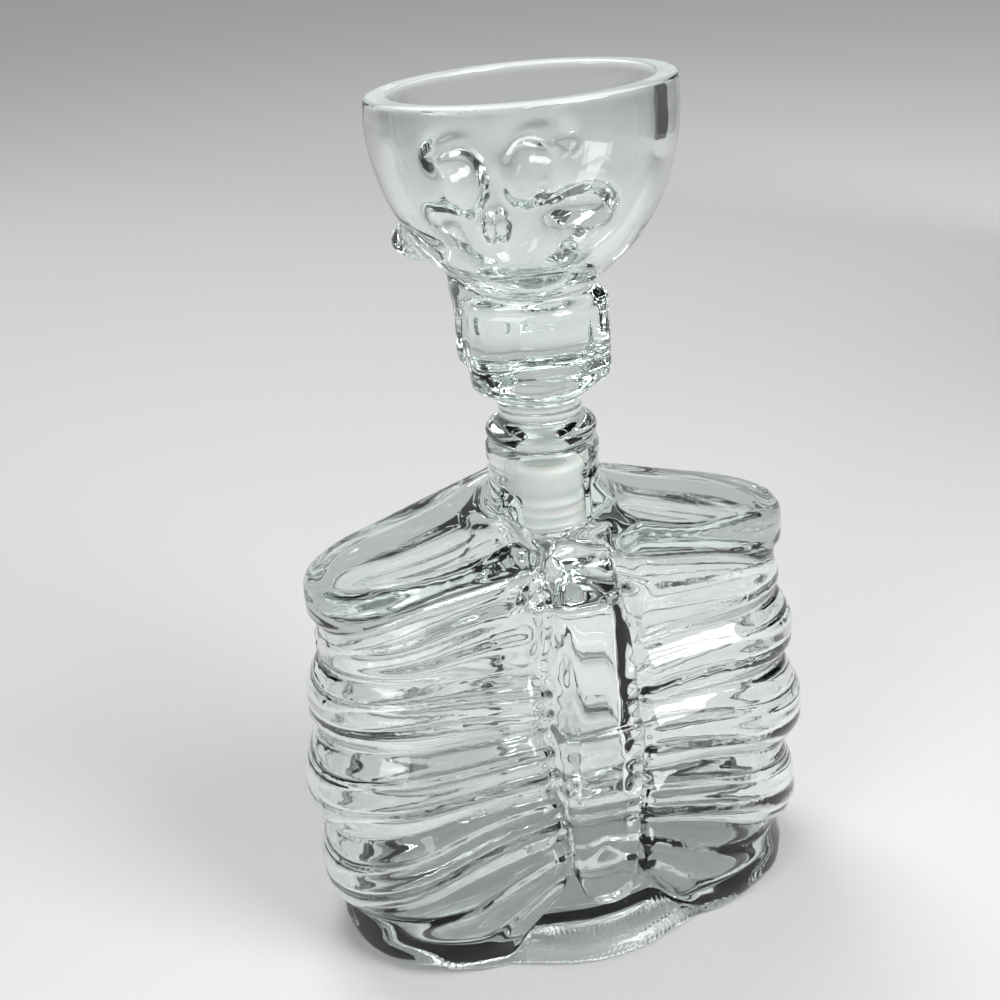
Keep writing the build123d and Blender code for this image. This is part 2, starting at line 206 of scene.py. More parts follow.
def skin(name, field, low, voxel):
    """A smooth mesh of quads on the zero surface of a field, nowhere under the floor."""
    volume = openvdb.FloatGrid(float(np.abs(field).max()))
    volume.copyFromArray(np.ascontiguousarray(field, dtype=np.float32))
    points, quads = volume.convertToQuads()
    points = settled(points, field) * voxel + np.array(low)
    points[:, 2] = np.maximum(points[:, 2], 0)
    print(name, len(points), "points,", len(quads), "quads")
    return new_piece(name, points * MM, quads.astype(int).tolist())


# %% [markdown]
# ## The chest
#
# Five pairs of ribs are stacked between six creases. Each crease is a height that depends on how
# far out to the side it is looked up, so the upper ribs lie level and the lower ones fall away from
# the breastbone. Between its two creases a rib bows outwards. Behind, all of them climb towards the
# backbone, as real ribs do. The lowest crease is a steep inverted V in front, where the floor of
# the bottle shows, and a slack one behind. Fine waves run along the ribs, weak outside and stronger
# in the hollow, because they draw the streaks that pressed glass shows.

# %% Crease heights and rib sizes
# A crease has its height in the middle, its fall at the side and the power of its curve.
CREASES = ((120.5, 24.0, 1.6), (90.0, 1.0, 3.0), (72.5, 7.5, 4.0), (54.0, 16.5, 2.2), (40.0, 31.0, 1.5))
CREASE_REACH, CREASE_OVERRUN = 72.0, 1.1
CREASE_BLEND = 1.2
# The V has its height in the middle and its slope, in front and behind.
BELLY_FRONT = (36.6, 1.22)
BELLY_BACK = (18.0, 0.45)
BELLY_LOWEST = -6
FRONT_TO_BACK = 40
BACK_RISE, BACK_RISE_REACH, BACK_RISE_DROP = 13.0, 24.0, 0.2
RIB_HALF_WIDTHS = (66.0, 70.3, 73.5, 71.9, 67.5)
RIB_HALF_DEPTHS = (34.2, 36.8, 38.9, 40.4, 41.6)
RIB_END_SHARE = 0.87
RIB_BOW_POWER, RIB_BOW_REACH = 2.3, 2.2
RIPPLE_TURNS = 9.5
RIPPLE_DRIFT, RIPPLE_LEAN = 13, 0.05


def crease(index, out, y):
    """Height of a crease at a distance out from the middle."""
    behind = np.clip(0.5 + y / FRONT_TO_BACK, 0, 1)
    if index < len(CREASES):
        middle, fall, power = CREASES[index]
        rise = BACK_RISE * behind * (np.exp(-out / BACK_RISE_REACH) - BACK_RISE_DROP)
        return middle - fall * np.clip(out / CREASE_REACH, 0, CREASE_OVERRUN) ** power + rise
    front = BELLY_FRONT[0] - BELLY_FRONT[1] * out
    back = BELLY_BACK[0] - BELLY_BACK[1] * out
    return np.maximum(front + (back - front) * behind, BELLY_LOWEST)


def ribs(x, y, z, inset, bow, blend, ripple):
    """All the ribs as one field. An inset gives the hollow inside them, a ripple its waves."""
    out = np.abs(x)
    total = None
    for index, (half_width, half_depth) in enumerate(zip(RIB_HALF_WIDTHS, RIB_HALF_DEPTHS)):
        top, bottom = crease(index, out, y), crease(index + 1, out, y)
        share = 2 * (z - bottom) / (top - bottom) - 1
        drift = np.sin(x / RIPPLE_DRIFT + 2 * index)
        waves = ripple * np.cos(RIPPLE_TURNS * share + drift + RIPPLE_LEAN * y)
        plan = capsule_plan(x, y, half_width, half_depth, half_depth * RIB_END_SHARE)
        rib = plan + inset + waves + bow * np.minimum(np.abs(share), RIB_BOW_REACH) ** RIB_BOW_POWER
        total = rib if total is None else join(total, rib, blend)
    return total


# %% [markdown]
# ## Shoulders, neck and throat
#
# The shoulders are two slabs that slope to the sides and, behind the neck, to the back. Each has a
# dish in its top, made by two lenses, and ends beside the breastbone in a knob, like the head of a
# collar bone. The neck carries a ring and a lip and spreads at its root. Between the slabs the
# throat is an open V.

# %% Shoulders
SHOULDER_PLAN = (67.2, 31.6, 22.5)
SHOULDER_LEVEL, SHOULDER_HALF_HEIGHT, SHOULDER_EDGE = 125.6, 6.4, 3.6
SIDE_SLOPE, BACK_SLOPE = 0.257, 0.24
SLOPE_START, RIDGE_RADIUS = 4, 3
# A dish lens has its radii, its place along the slab, its height over the slab's top and its blend.
TRAY = ((31, 25, 6.5), (36, -2), 4.6, 3)
SCOOP = ((22, 23, 7), (30, -7), 3.4, 4)
KNOB_RADII, KNOB_CENTRE = (5.0, 5.0, 4.6), (9.2, -21.0, 118.8)


def back_fall(y):
    """How far the shoulders drop behind the neck."""
    return BACK_SLOPE * (SLOPE_START * np.logaddexp(0, (y - SLOPE_START) / SLOPE_START))


def under_shoulders(x, y, z, top):
    """Negative below a sloping level that runs along the shoulders."""
    return z - (top - SIDE_SLOPE * np.abs(x) - back_fall(y))


def shoulders(x, y, z):
    """Both shoulder slabs with their dishes."""
    out = np.abs(x)
    tilt = np.sqrt(1 + SIDE_SLOPE**2)
    fall = SIDE_SLOPE * np.sqrt(out**2 + RIDGE_RADIUS**2)
    level = (z - SHOULDER_LEVEL + fall) / tilt + back_fall(y)
    half_width, half_depth, end_radius = SHOULDER_PLAN
    plan = capsule_plan(x * tilt, y, half_width * tilt, half_depth, end_radius)
    field = slab(plan, SHOULDER_HALF_HEIGHT, level, SHOULDER_EDGE)
    for radii, place, over, blend in (TRAY, SCOOP):
        dish = lens(out, y, level, radii, (*place, SHOULDER_HALF_HEIGHT + over))
        field = cut(field, dish, blend)
    return field


# %% Neck and throat
NECK_RADIUS, NECK_TOP, LIP_ROUND = 14.3, 143.0, 1.2
BORE_RADIUS, BORE_FOOT = 10.75, 104
NECK_PROFILE = (
    (108, 30), (116, 24), (122, 20.5), (127, 17.6), (131, 15.3), (133.4, 14.3),
    (133.8, 14.3), (134.4, 14.9), (135.4, 14.9), (136, 14.3), (137.2, 14.3),
    (137.8, 15), (141.8, 15), (142.6, 14.7), (143, 14.0), (144, 13.0),
)
THROAT_FOOT, THROAT_SLOPE, THROAT_STEEPNESS = 113.5, 0.88, 0.75
THROAT_FRONT = 11.0
CORNER_REACH, CORNER_FOOT, CORNER_STEEPNESS = 15.5, 112.0, 0.7


def neck(x, y, z):
    """The neck with its lip and ring, spreading at its root."""
    return keep(turned(x, y, z, NECK_PROFILE), z - NECK_TOP, LIP_ROUND)


def throat(x, y, z):
    """Positive inside the V in front of the neck, between the slabs' inner ends."""
    out = np.abs(x)
    wedge = (z - THROAT_FOOT - THROAT_SLOPE * out) * THROAT_STEEPNESS
    corner = np.minimum(-(out + y + CORNER_REACH) * CORNER_STEEPNESS, z - CORNER_FOOT)
    opening = np.maximum(np.minimum(wedge, -(y + THROAT_FRONT)), corner)
    return np.minimum(opening, np.sqrt(x**2 + y**2) - NECK_RADIUS)


# %% [markdown]
# ## Breastbone, backbone and foot
#
# The bones down the front and the back are rounded plates, crowned across. The breastbone is a bar
# whose top leans back, overlapped by a shield, and the ribs draw back in a groove on both sides of
# it. The backbone is a column of vertebrae with a waist between each two.

# %% Bones and foot
BONE_HALF_DEPTH, BONE_EDGE, BONE_CROWN = 10, 2.6, 0.013
BAR_HEIGHTS, BAR_HALF_WIDTHS = (75, 91, 103, 118), (11.4, 11.2, 10.0, 8.0)
BAR_MIDDLE, BAR_FOOT, BAR_TOP = 31.2, 73, 121.5
BAR_FOOT_ROUND, BAR_TOP_ROUND = 2, 3
LEAN_HEIGHTS, LEANS = (60, 75, 112, 122), (0, 0, 4.6, 8.6)
SHIELD_HEIGHTS, SHIELD_HALF_WIDTHS = (19, 28, 60, 72, 76), (5.8, 8.6, 11.2, 12.2, 11.6)
SHIELD_MIDDLE, SHIELD_FOOT, SHIELD_TOP, SHIELD_FOOT_CURVE = 33.0, 19.5, 75.5, 0.045
SHIELD_FOOT_ROUND, SHIELD_TOP_ROUND, SHIELD_FILLET = 3, 1.2, 0.8
GROOVE_HEIGHTS = SHIELD_HEIGHTS[:4] + (76,) + BAR_HEIGHTS[1:]
GROOVE_EDGES = SHIELD_HALF_WIDTHS[:4] + BAR_HALF_WIDTHS
GROOVE_DEPTH, GROOVE_WIDTH, GROOVE_OFFSET, GROOVE_TOP = 3.0, 2.2, 1.4, 119
GROOVE_FRONT_FADE, GROOVE_TOP_FADE = 26, 4
VERTEBRA_PITCH, VERTEBRA_WAIST, VERTEBRA_FOOT, LAST_VERTEBRA = 15.1, 1.0, 8, 6.99
BACKBONE_HALF_WIDTH, BACKBONE_HALF_DEPTH, BACKBONE_EDGE = 10, 11, 3.0
BACKBONE_MIDDLE, BACKBONE_LEAN, BACKBONE_CROWN = 31.9, 0.0594, 0.02
BACKBONE_FOOT, BACKBONE_TOP, BACKBONE_ROUND = 6, 114, 3
FOOT_PLAN, FOOT_HALF_HEIGHT, FOOT_EDGE = (57.8, 41.8, 33.0), 2.2, 1.5
PUNT_PLAN, PUNT_RIM_DEPTH, PUNT_DOME, PUNT_EDGE = (53.8, 37.8, 29), 1.6, 2.2, 0.8


def bar_lean(z):
    """How far the breastbone's bar has leant back at a height."""
    return np.interp(z, LEAN_HEIGHTS, LEANS)


def breastbone(x, y, z):
    """The bar, and the shield that overlaps its foot."""
    out = np.abs(x)
    crown = BONE_CROWN * out**2
    bar_half = np.interp(z, BAR_HEIGHTS, BAR_HALF_WIDTHS)
    bar = slab(out - bar_half, BONE_HALF_DEPTH, y + BAR_MIDDLE - bar_lean(z) - crown, BONE_EDGE)
    bar = keep(keep(bar, BAR_FOOT - z, BAR_FOOT_ROUND), z - BAR_TOP, BAR_TOP_ROUND)
    shield_half = np.interp(z, SHIELD_HEIGHTS, SHIELD_HALF_WIDTHS)
    shield = slab(out - shield_half, BONE_HALF_DEPTH, y + SHIELD_MIDDLE - crown, BONE_EDGE)
    shield = keep(shield, z - SHIELD_TOP, SHIELD_TOP_ROUND)
    shield = keep(shield, SHIELD_FOOT + SHIELD_FOOT_CURVE * out**2 - z, SHIELD_FOOT_ROUND)
    return join(bar, shield, SHIELD_FILLET)


def groove(x, y, z):
    """How much the ribs draw back on both sides of the breastbone."""
    edge = np.interp(z, GROOVE_HEIGHTS, GROOVE_EDGES)
    near = peak(np.abs(x) - edge - GROOVE_OFFSET, GROOVE_WIDTH)
    return GROOVE_DEPTH * near * ramp(-y, GROOVE_FRONT_FADE) * ramp(GROOVE_TOP - z, GROOVE_TOP_FADE)


def backbone(x, y, z):
    """A column of vertebrae on a low ridge."""
    steps = (z - VERTEBRA_FOOT) / VERTEBRA_PITCH
    step = steps - np.floor(np.clip(steps, 0, LAST_VERTEBRA))
    level = y - BACKBONE_MIDDLE + BACKBONE_LEAN * z + BACKBONE_CROWN * x**2
    ridge = slab(np.abs(x) - BACKBONE_HALF_WIDTH, BACKBONE_HALF_DEPTH, level, BACKBONE_EDGE)
    ridge = ridge + VERTEBRA_WAIST * np.abs(2 * step - 1) ** 4
    ridge = keep(ridge, z - BACKBONE_TOP, BACKBONE_ROUND)
    return keep(ridge, BACKBONE_FOOT - z, BACKBONE_ROUND)


def foot(x, y, z):
    """The oval foot."""
    return slab(capsule_plan(x, y, *FOOT_PLAN), FOOT_HALF_HEIGHT, z - FOOT_HALF_HEIGHT, FOOT_EDGE)


def punt(x, y, z):
    """The domed recess under the foot, inside the bearing ring."""
    half_width, half_depth, _ = PUNT_PLAN
    bulge = np.clip(1 - (x / half_width) ** 2 - (y / half_depth) ** 2, 0, 1)
    return slab(capsule_plan(x, y, *PUNT_PLAN), PUNT_RIM_DEPTH + PUNT_DOME * bulge, z, PUNT_EDGE)


# %% [markdown]
# ## The glass of the bottle
#
# The outside joins everything above, each with a fillet of its own. A mould seam runs down both
# sides. The hollow follows the ribs more loosely, has a smooth trough behind the breastbone, and
# goes up through the neck.

# %% The bottle's outside and inside
BOTTLE_VOXEL = 1.0
BOTTLE_LOW = (-75.0, -45.0, -3.0)
BOTTLE_HIGH = (75.0, 45.0, 146.0)
CORE_PLAN, CORE_TOP = (65.0, 31.8, 24.5), 124.0
RIB_BOW, RIPPLE_OUTSIDE = 5.0, 0.16
CHEST_FOOT, NECK_ROOT = 0.8, 118
SEAM_HEIGHT, SEAM_WIDTH, SEAM_START, SEAM_FADE = 0.18, 0.8, 50, 8
FILLET = {
    "slab": 3, "core": 2, "floor": 5, "shoulders": 1.2, "neck": 5, "throat": 1.6,
    "knobs": 2.2, "breastbone": 0.9, "backbone": 1.6, "foot": 5, "glass": 0.6,
}
HOLLOW_PLAN, HOLLOW_FOOT, HOLLOW_TOP = (61.0, 27.8, 20.5), 7.0, 120.5
HOLLOW_INSET, HOLLOW_BOW, RIPPLE_INSIDE = 6.0, 2.6, 0.55
TROUGH_HALF_WIDTH, TROUGH_HALF_DEPTH, TROUGH_EDGE = 7.5, 24, 4
TROUGH_MIDDLE, TROUGH_FOOT, TROUGH_LEAN_SHARE = -10.5, 26, 0.9
THROAT_WALL = 4.0
HOLLOW_FILLET = {
    "ribs": 3, "trough_foot": 8, "trough": 3, "core": 4, "top": 4,
    "floor": 6, "throat": 3, "bore_foot": 1, "bore": 4,
}


def bottle_outside(x, y, z):
    """Everything that the glass bottle reaches out to."""
    body = ribs(x, y, z, RIPPLE_OUTSIDE, RIB_BOW, CREASE_BLEND, RIPPLE_OUTSIDE) + groove(x, y, z)
    under_slab = under_shoulders(x, y, z, CORE_TOP)
    core = keep(capsule_plan(x, y, *CORE_PLAN), under_slab, FILLET["slab"])
    body = join(keep(body, under_slab, FILLET["slab"]), core, FILLET["core"])
    body = keep(body, CHEST_FOOT - z, FILLET["floor"])
    body = join(body, shoulders(x, y, z), FILLET["shoulders"])
    body = body - SEAM_HEIGHT * peak(y, SEAM_WIDTH) * ramp(np.abs(x) - SEAM_START, SEAM_FADE)
    body = join(body, neck(x, y, z) + np.maximum(NECK_ROOT - z, 0), FILLET["neck"])
    body = cut(body, -throat(x, y, z), FILLET["throat"])
    body = join(body, lens(np.abs(x), y, z, KNOB_RADII, KNOB_CENTRE), FILLET["knobs"])
    body = join(body, breastbone(x, y, z), FILLET["breastbone"])
    body = join(body, backbone(x, y, z), FILLET["backbone"])
    return join(body, foot(x, y, z), FILLET["foot"])


def bottle_inside(x, y, z):
    """The hollow, up through the neck."""
    body = ribs(x, y, z, HOLLOW_INSET, HOLLOW_BOW, HOLLOW_FILLET["ribs"], RIPPLE_INSIDE)
    level = y - TROUGH_MIDDLE - bar_lean(z) * TROUGH_LEAN_SHARE
    trough = slab(np.abs(x) - TROUGH_HALF_WIDTH, TROUGH_HALF_DEPTH, level, TROUGH_EDGE)
    trough = keep(trough, TROUGH_FOOT - z, HOLLOW_FILLET["trough_foot"])
    body = join(body, trough, HOLLOW_FILLET["trough"])
    body = join(body, capsule_plan(x, y, *HOLLOW_PLAN), HOLLOW_FILLET["core"])
    body = keep(body, under_shoulders(x, y, z, HOLLOW_TOP), HOLLOW_FILLET["top"])
    body = keep(body, HOLLOW_FOOT - z, HOLLOW_FILLET["floor"])
    body = cut(body, -(throat(x, y, z) + THROAT_WALL), HOLLOW_FILLET["throat"])
    bore = np.sqrt(x**2 + y**2) - BORE_RADIUS
    bore = keep(bore, BORE_FOOT - z, HOLLOW_FILLET["bore_foot"])
    return join(body, bore, HOLLOW_FILLET["bore"])


x, y, z = grid(BOTTLE_LOW, BOTTLE_HIGH, BOTTLE_VOXEL)
glass = keep(bottle_outside(x, y, z), -bottle_inside(x, y, z), FILLET["glass"])
glass = cut(glass, punt(x, y, z), FILLET["glass"])
bottle = skin("glass_bottle", glass, BOTTLE_LOW, BOTTLE_VOXEL)

# %% [markdown]
# ## Knurling on the foot
#
# A row of beads runs round the foot's edge, and short ticks lie side by side where the lowest ribs
# part. Both are finer than the grid, so only the quads under them are divided and moved.

# %% Divide and raise the foot's quads
BEAD_COUNT, BEAD_HEIGHT, BEAD_LEVEL, BEAD_SPREAD, BEAD_BAND = 210, 0.35, 2.1, 1.1, 1.6
BEAD_FADE = 1.0
TICK_PITCH, TICK_HEIGHT, TICK_FULLNESS = 1.45, 0.5, 0.35
TICK_OUTER, TICK_INNER, TICK_ENDS = 2.0, 8.6, 0.8
TICKS_MIDDLE, TICKS_HALF_WIDTH, TICKS_FADE, TICKS_FRONT = 2, 18.5, 0.6, -28
TICKS_LOW, TICKS_HIGH = 3, 9
KNURL_LOW, KNURL_HIGH = (-60, -45, 0.3), (60, 45, 8.5)
KNURL_MIDDLE, KNURL_HALF_WIDTH, KNURL_CUTS = 4, 5.5, 3
LEAST_RELIEF = 0.01


def foot_relief(x, y, z):
    """Height of the beads and ticks in millimetres."""
    inward = capsule_plan(x, y, *FOOT_PLAN)
    around = np.arctan2(y / FOOT_PLAN[1], x / FOOT_PLAN[0])
    beads = (0.5 + 0.5 * np.cos(BEAD_COUNT * around)) * peak(z - BEAD_LEVEL, BEAD_SPREAD)
    beads = beads * ramp(inward + BEAD_BAND, BEAD_FADE)
    ticks = ramp(TICK_FULLNESS + np.cos(2 * pi * x / TICK_PITCH), 1 + TICK_FULLNESS)
    inside = ramp(inward + TICK_INNER, TICK_ENDS) * ramp(-TICK_OUTER - inward, TICK_ENDS)
    inside = inside * ramp(TICKS_HALF_WIDTH - np.abs(x - TICKS_MIDDLE), TICKS_FADE)
    inside = inside * (y < TICKS_FRONT) * (z < TICKS_HIGH) * (z > TICKS_LOW)
    return BEAD_HEIGHT * beads + TICK_HEIGHT * ticks * inside


def places_of(mesh):
    """A mesh's points in millimetres."""
    return np.array([vert.co for vert in mesh.verts]) / MM


def raise_relief(piece, relief):
    """Divides the quads near the foot's edge and moves them out by the relief."""
    mesh = bmesh.new()
    mesh.from_mesh(piece.data)
    places = places_of(mesh)
    near = np.all((places > KNURL_LOW) & (places < KNURL_HIGH), axis=1)
    inward = capsule_plan(places[:, 0], places[:, 1], *FOOT_PLAN)
    wanted = near & (np.abs(inward + KNURL_MIDDLE) < KNURL_HALF_WIDTH)
    faces = [face for face in mesh.faces if all(wanted[vert.index] for vert in face.verts)]
    edges = list({edge for face in faces for edge in face.edges})
    bmesh.ops.subdivide_edges(mesh, edges=edges, cuts=KNURL_CUTS, use_grid_fill=True)
    mesh.normal_update()
    heights = relief(*places_of(mesh).T)
    raised = [(vert, float(height)) for vert, height in zip(mesh.verts, heights) if height > LEAST_RELIEF]
    moves = [(vert, vert.normal * height * MM) for vert, height in raised]
    for vert, move in moves:
        vert.co += move
    print(piece.name, len(faces), "quads divided,", len(moves), "points raised")
    mesh.to_mesh(piece.data)
    mesh.free()


raise_relief(bottle, foot_relief)

# %% [markdown]
# ## The skull goblet
#
# The skull is an open bowl with a face on its broad side, on a block, a waist, a collar and a peg.
# It is sculpted facing the front and then turned by half a turn and a little more, as it stands on
# the bottle in the photograph. Nearly all of the face is lenses: some are joined to the bowl, and
# the sockets, the nose and the hollows of the cheeks are cut out of it.

# %% The skull's sizes
SKULL_VOXEL = 0.8
SKULL_LOW = (-42.0, -34.0, 113.0)
SKULL_HIGH = (42.0, 34.0, 237.0)
SKULL_TURN = radians(184)
GOBLET_TOP = 234.5
PEG_FOOT, STEM_TOP, STEM_ROUND = 115.8, 161, 1
STEM_PROFILE = (
    (115, 5.4), (115.8, 5.9), (117, 6.9), (142.6, 6.9), (143.3, 12.9), (144.2, 14.2),
    (145.5, 14.7), (146.6, 14.6), (147.6, 13.9), (148.4, 12.4), (149.2, 11.4), (150.5, 10.9),
    (153.0, 10.9), (155.0, 11.4), (156.6, 12.6), (158, 14.0), (161, 14.4),
)
BOWL_CENTRE = (0, 0, 226.5)
BOWL_RADII, HOLLOW_RADII = (39.2, 29.0, 45.0), (33.6, 24.2, 38.8)
BOWL_SHIFT, BOWL_TAPER, BOWL_DROP = 0.038, 0.0009, 50
RIM_ROUND, WALL_FILLET = 1.0, 1.2
BLOCK_FILLET, STEM_FILLET, JAW_FILLET = 5, 2, 4
BLOCK_PLAN, BLOCK_SHIFT = (18.9, 15.6, 11.0), 0.9
BLOCK_HALF_HEIGHT, BLOCK_LEVEL, BLOCK_EDGE = 12.3, 169.7, 3.6
JAW_PLAN, JAW_REACH = (17.2, 11.5, 9.0), 12.0
JAW_HALF_HEIGHT, JAW_LEVEL, JAW_EDGE = 12, 172.8, 4
# A form of the face has its radii, its centre and its blend, for one side and mirrored.
CENTRE_OF_FACE = ((19, 15, 24), (0, -15, 194), 6)
BROW = ((13, 6, 5), (10, -24.0, 214.5), 4)
CHEEK = ((11, 10, 5), (20, -16, 195.5), 5)
ARCH = ((3.6, 12, 4.6), (25.6, -9, 198), 4)
CHIN = ((9, 5, 5), (0, -20.5, 165), 4)
SOCKET = ((7.2, 7.5, 8.0), (10.2, -29.5, 205.0), 3)
NOSE = ((3.0, 5.5, 6.0), (2.0, -31, 191.5), 1.5)
CHEEK_HOLLOW = ((5, 6, 9), (19, -25, 183), 4)
FACE_HOLLOW = ((14, 10, 17), (0, -13.5, 196.5), 5)
BROW_HOLLOW = ((7, 5, 4), (11, -20.5, 215), 4)
SOCKET_BACK = ((10.0, 10.5, 11.0), (10.2, -29.5, 205.0), 2.5)
TOOTH_PITCH, TOOTH_LEVEL, TOOTH_SPREAD, TOOTH_HEIGHT, TOOTH_GAP = 4.6, 172.5, 6.5, 1.7, 0.9
BITE_WIDTH, BITE_DEPTH = 0.9, 1.0
TEETH_BACK, TEETH_BACK_FADE, TEETH_HALF_WIDTH, TEETH_SIDE_FADE = 15, 5, 15, 4


# %% The skull's fields
def formed(body, x, y, z, forms, blender):
    """A body with mirrored lenses joined to it or cut from it."""
    for radii, centre, blend in forms:
        body = blender(body, lens(np.abs(x), y, z, radii, centre), blend)
    return body


def bowl_drop(z):
    """Distance below the bowl's middle, where it narrows and moves to one side."""
    return np.clip(BOWL_CENTRE[2] - z, 0, BOWL_DROP)


def on_teeth(x, y, z, spread):
    """One at the bite in front, fading over a spread of heights, and to the sides and the back."""
    front = peak(z - TOOTH_LEVEL, spread) * ramp(-y - TEETH_BACK, TEETH_BACK_FADE)
    return front * ramp(TEETH_HALF_WIDTH - np.abs(x), TEETH_SIDE_FADE)


def toothed(body, x, y, z):
    """A body with two rows of teeth, drawn back between them."""
    tooth = np.abs(np.sin(x * pi / TOOTH_PITCH)) ** 0.5
    body = body + on_teeth(x, y, z, TOOTH_SPREAD) * (TOOTH_GAP - TOOTH_HEIGHT * tooth)
    return body + BITE_DEPTH * on_teeth(x, y, z, BITE_WIDTH)


def skull_outside(x, y, z):
    """The skull with its stem and peg, facing -Y."""
    drop = bowl_drop(z)
    narrowed = (x + BOWL_SHIFT * drop) * (1 + BOWL_TAPER * drop)
    bowl = lens(narrowed, y, z, BOWL_RADII, BOWL_CENTRE)
    plan = capsule_plan(x + BLOCK_SHIFT, y, *BLOCK_PLAN)
    block = slab(plan, BLOCK_HALF_HEIGHT, z - BLOCK_LEVEL, BLOCK_EDGE)
    body = join(bowl, block, BLOCK_FILLET)
    stem = keep(turned(x, y, z, STEM_PROFILE), z - STEM_TOP, STEM_ROUND)
    body = join(body, np.maximum(stem, PEG_FOOT - z), STEM_FILLET)
    body = formed(body, x, y, z, (CENTRE_OF_FACE, BROW, CHEEK, ARCH), join)
    jaw = slab(capsule_plan(x, y + JAW_REACH, *JAW_PLAN), JAW_HALF_HEIGHT, z - JAW_LEVEL, JAW_EDGE)
    body = join(body, jaw, JAW_FILLET)
    body = formed(body, x, y, z, (CHIN,), join)
    body = formed(body, x, y, z, (SOCKET, NOSE, CHEEK_HOLLOW), cut)
    return keep(toothed(body, x, y, z), z - GOBLET_TOP, RIM_ROUND)


def skull_inside(x, y, z):
    """The bowl's hollow, which follows the face loosely."""
    hollow = lens(x + BOWL_SHIFT * bowl_drop(z), y, z, HOLLOW_RADII, BOWL_CENTRE)
    hollow = formed(hollow, x, y, z, (FACE_HOLLOW, BROW_HOLLOW), join)
    return formed(hollow, x, y, z, (SOCKET_BACK,), cut)


x, y, z = grid(SKULL_LOW, SKULL_HIGH, SKULL_VOXEL)
turned_x = x * cos(SKULL_TURN) + y * sin(SKULL_TURN)
turned_y = y * cos(SKULL_TURN) - x * sin(SKULL_TURN)
glass = keep(skull_outside(turned_x, turned_y, z), -skull_inside(turned_x, turned_y, z), WALL_FILLET)
skull = skin("skull_glass", glass, SKULL_LOW, SKULL_VOXEL)

# %% [markdown]
# ## The sealing sleeve
#
# A turned piece needs only its outline: a few radii and heights, carried round the axis in a ring
# of quads. Under a wide band the fins are lip seals, thin and a little drooped.

# %% Turn the sleeve
SLEEVE_TOP, SLEEVE_FOOT = 137.5, 117.5
SLEEVE_BORE, SLEEVE_BODY, SLEEVE_FIN = 6.97, 9.4, 10.68
SLEEVE_EDGE = 0.4
BAND_FOOT = 129.6
LIP_LEVELS = (127.2, 124.0, 120.8)


def lathe(name, outline, steps=128):
    """A closed ring of quads from an outline of radius and height in millimetres."""
    outline = np.array(outline, float) * MM
    turn = np.linspace(0, 2 * pi, steps, endpoint=False)
    points = [(r * cos(a), r * sin(a), h) for a in turn for r, h in outline]
    count = len(outline)
    faces = []
    for i in range(steps):
        here, there = i * count, (i + 1) % steps * count
        for j in range(count):
            k = (j + 1) % count
            faces.append((here + j, here + k, there + k, there + j))
    return new_piece(name, points, faces)


def lip(level):
    """One lip seal's corners, from its root above to its root below."""
    return [
        (SLEEVE_BODY, level + 0.8),
        (SLEEVE_BODY + 0.5, level + 0.55),
        (SLEEVE_FIN - 0.1, level + 0.5),
        (SLEEVE_FIN, level + 0.3),
        (SLEEVE_FIN, level - 0.3),
        (SLEEVE_FIN - 0.15, level - 0.5),
        (SLEEVE_BODY + 0.4, level - 0.9),
        (SLEEVE_BODY, level - 1.3),
    ]


band = [
    (SLEEVE_BORE, SLEEVE_TOP - SLEEVE_EDGE),
    (SLEEVE_BORE + SLEEVE_EDGE, SLEEVE_TOP),
    (SLEEVE_FIN - 0.9, SLEEVE_TOP),
    (SLEEVE_FIN - 0.3, SLEEVE_TOP - 0.3),
    (SLEEVE_FIN - 0.1, SLEEVE_TOP - 0.9),
    (SLEEVE_FIN - 0.1, BAND_FOOT + 0.5),
    (SLEEVE_FIN - 0.4, BAND_FOOT),
    (SLEEVE_BODY, BAND_FOOT - 0.4),
]
lips = [corner for level in LIP_LEVELS for corner in lip(level)]
end = [
    (SLEEVE_BODY, SLEEVE_FOOT + SLEEVE_EDGE),
    (SLEEVE_BODY - SLEEVE_EDGE, SLEEVE_FOOT),
    (SLEEVE_BORE + SLEEVE_EDGE, SLEEVE_FOOT),
    (SLEEVE_BORE, SLEEVE_FOOT + SLEEVE_EDGE),
]
sleeve = lathe("ribbed_sleeve", (band + lips + end)[::-1])
print(sleeve.name, len(sleeve.data.polygons), "quads")

# %% [markdown]
# ## Finishes
#
# A node tree reads best as arithmetic, so a socket is wrapped in a small class that adds a Math node
# for each sum, product or comparison, and every other node comes from one method.

# %% Shader helper
class Sock:
    """A shader socket that takes part in arithmetic."""

    def __init__(self, shade, socket):
        self.shade = shade
        self.socket = socket

    def math(self, operation, other):
        return self.shade.node("ShaderNodeMath", {"operation": operation}, places=(self, other))

    def __add__(self, other):
        return self.math("ADD", other)

    def __mul__(self, other):
        return self.math("MULTIPLY", other)

    def __gt__(self, other):
        return self.math("GREATER_THAN", other)

    def __lt__(self, other):
        return self.math("LESS_THAN", other)

    __radd__ = __add__
    __rmul__ = __mul__


class Shader:
    """A material's node tree, with one way to add any node."""

    def __init__(self, name):
        self.material = bpy.data.materials.new(name)
        self.material.use_nodes = True
        self.tree = self.material.node_tree
        self.tree.nodes.clear()

    def node(self, kind, settings=None, output=0, places=(), **inputs):
        """Adds a node. Places are the values or links of its first sockets, in their order."""
        made = self.tree.nodes.new(kind)
        for key, value in (settings or {}).items():
            setattr(made, key, value)
        pairs = list(zip(made.inputs, places))
        pairs += [(made.inputs[key.replace("_", " ")], value) for key, value in inputs.items()]
        for socket, value in pairs:
            if isinstance(value, Sock):
                self.tree.links.new(value.socket, socket)
            else:
                socket.default_value = value
        return Sock(self, made.outputs[output]) if made.outputs else made

    def finish(self, **ends):
        """Links the surface, and a volume if there is one, to the material's output."""
        self.node("ShaderNodeOutputMaterial", **ends)
        return self.material


